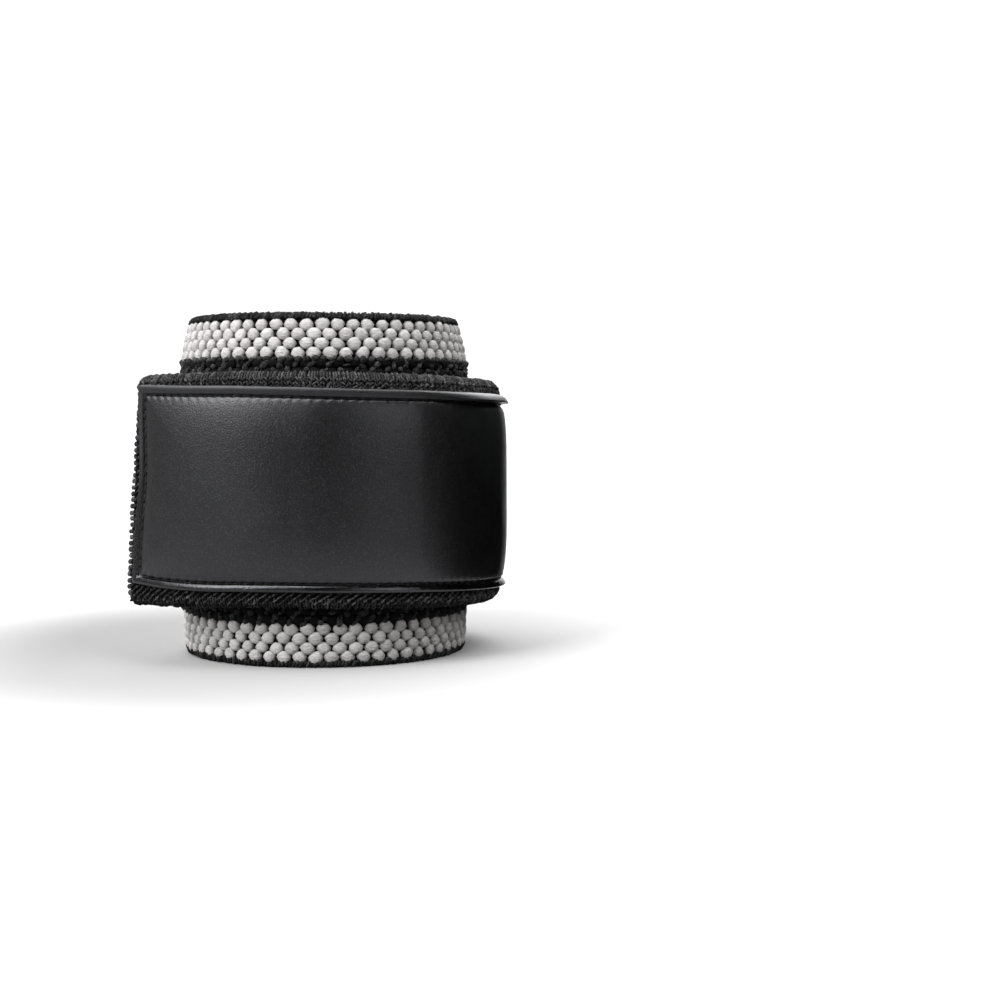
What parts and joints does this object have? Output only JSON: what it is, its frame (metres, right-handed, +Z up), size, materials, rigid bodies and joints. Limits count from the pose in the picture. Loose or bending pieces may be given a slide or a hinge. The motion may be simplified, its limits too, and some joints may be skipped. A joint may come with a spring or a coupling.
{
  "type": "wrist strap",
  "caption": "Woven elastic wrist wrap rolled into an open ring, with grey bead stripes along both edges and a leather-faced closure strap round the outside.",
  "frame": {"origin": "under the middle of the wrap's outline, on the surface that it stands on", "axes": "+Z up along the ring's axis, -Y towards the front where the leather shows, -X towards the strap's free end"},
  "size_m": [0.0856, 0.0786, 0.076],
  "materials": {
    "black_elastic": "black bead-weave elastic",
    "grey_yarn": "light grey yarn beads",
    "black_webbing": "black looped webbing",
    "black_leather": "satin black, fine grain"
  },
  "bodies": {
    "root": {"elastic_band": "black_elastic", "grey_rows_upper": "grey_yarn", "grey_rows_lower": "grey_yarn", "closure_strap": "black_webbing", "leather_panel": "black_leather"}
  },
  "joints": []
}
